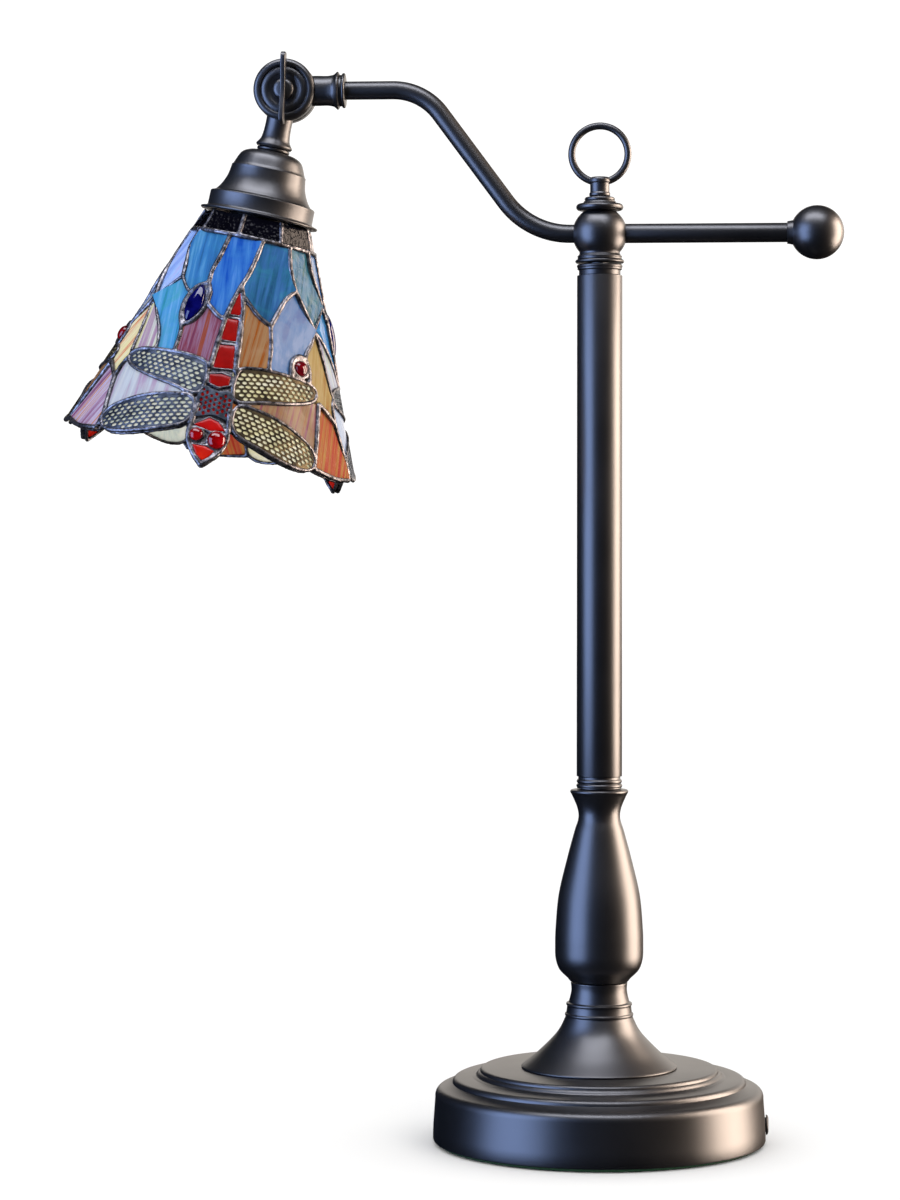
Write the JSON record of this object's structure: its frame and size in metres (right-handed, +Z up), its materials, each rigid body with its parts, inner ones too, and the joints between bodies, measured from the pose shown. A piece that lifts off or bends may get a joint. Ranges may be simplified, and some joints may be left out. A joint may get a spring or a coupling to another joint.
{
  "type": "table lamp",
  "caption": "Table lamp: a cone shade of leaded dragonfly glass tilts on a knuckle at the end of a swivelling, counterweighted arm, on a turned column with a round weighted base.",
  "frame": {"origin": "centre of the felt's underside, on the column's axis, where the lamp rests", "axes": "+Z up along the column; the arm lies in the XZ plane, with the shade on the -X side and the counterweight ball on the +X side"},
  "size_m": [0.4354, 0.1866, 0.61],
  "materials": {
    "bronze_coat": "dark bronze-black satin powder coat",
    "cast_iron": "rough as cast",
    "green_felt": "pressed wool felt",
    "zinc_steel": "zinc plated",
    "black_plastic": "moulded, matte",
    "bulb_cap_metal": "rolled thread",
    "bulb_glass": "opal white, unlit",
    "brass_fitter": "aged",
    "black_glass": "opaque black, glossy",
    "field_glass": "streaky opalescent, blues to orange and pink",
    "dragonfly_glass": "opaque red, glossy",
    "wing_filigree": "cream glass under a dark pewter filigree plate",
    "blue_jewel_glass": "domed, polished",
    "red_jewel_glass": "domed, polished"
  },
  "bodies": {
    "stand": {"base_shell": "bronze_coat", "base_felt": "green_felt", "base_weight": "cast_iron", "cord_bushing": "black_plastic", "base_washer": "zinc_steel", "base_nut": "zinc_steel", "trumpet_foot": "bronze_coat", "vase_body": "bronze_coat", "post_foot_ring": "bronze_coat", "post_tube": "bronze_coat", "post_top_ring": "bronze_coat", "swivel_washer": "bronze_coat", "tie_pipe": "zinc_steel"},
    "arm": {"tee_ball": "bronze_coat", "counter_rod": "bronze_coat", "counter_ball": "bronze_coat", "finial_cap": "bronze_coat", "arm_tube": "bronze_coat", "arm_knuckle": "bronze_coat", "knuckle_nut": "bronze_coat"},
    "finial": {"finial_screw": "bronze_coat", "finial_ring": "bronze_coat"},
    "key": {"wing_key": "bronze_coat"},
    "head": {"head_knuckle": "bronze_coat", "neck_ring": "bronze_coat", "shade_holder": "bronze_coat", "head_nipple": "zinc_steel", "lamp_socket": "black_plastic", "bulb_cap": "bulb_cap_metal", "bulb_globe": "bulb_glass", "shade_fitter": "brass_fitter", "shade_lock_ring": "black_plastic", "gallery_band": "black_glass", "glass_field_a": "field_glass", "dragonfly_body_a": "dragonfly_glass", "upper_right_wing_a": "wing_filigree", "upper_left_wing_a": "wing_filigree", "lower_right_wing_a": "wing_filigree", "lower_left_wing_a": "wing_filigree", "blue_jewel_a": "blue_jewel_glass", "red_jewel_a": "red_jewel_glass", "glass_field_b": "field_glass", "dragonfly_body_b": "dragonfly_glass", "upper_right_wing_b": "wing_filigree", "upper_left_wing_b": "wing_filigree", "lower_right_wing_b": "wing_filigree", "lower_left_wing_b": "wing_filigree", "blue_jewel_b": "blue_jewel_glass", "red_jewel_b": "red_jewel_glass", "glass_field_c": "field_glass", "dragonfly_body_c": "dragonfly_glass", "upper_right_wing_c": "wing_filigree", "upper_left_wing_c": "wing_filigree", "lower_right_wing_c": "wing_filigree", "lower_left_wing_c": "wing_filigree", "blue_jewel_c": "blue_jewel_glass", "red_jewel_c": "red_jewel_glass"}
  },
  "joints": [
    {"name": "arm_swivel", "type": "hinge", "parent": "stand", "child": "arm", "pos_m": [0, 0, 0.4942], "axis": [0, 0, 1], "range_deg": [-165, 165]},
    {"name": "head_tilt", "type": "hinge", "parent": "arm", "child": "head", "pos_m": [-0.1765, 0, 0.59], "axis": [0, 1, 0], "range_deg": [-34, 88]},
    {"name": "key_turn", "type": "hinge", "parent": "arm", "child": "key", "pos_m": [-0.1765, 0, 0.59], "axis": [0, 1, 0], "range_deg": [-90, 90]},
    {"name": "finial_turn", "type": "hinge", "parent": "arm", "child": "finial", "pos_m": [0, 0, 0.53], "axis": [0, 0, 1], "range_deg": [-90, 90]}
  ]
}
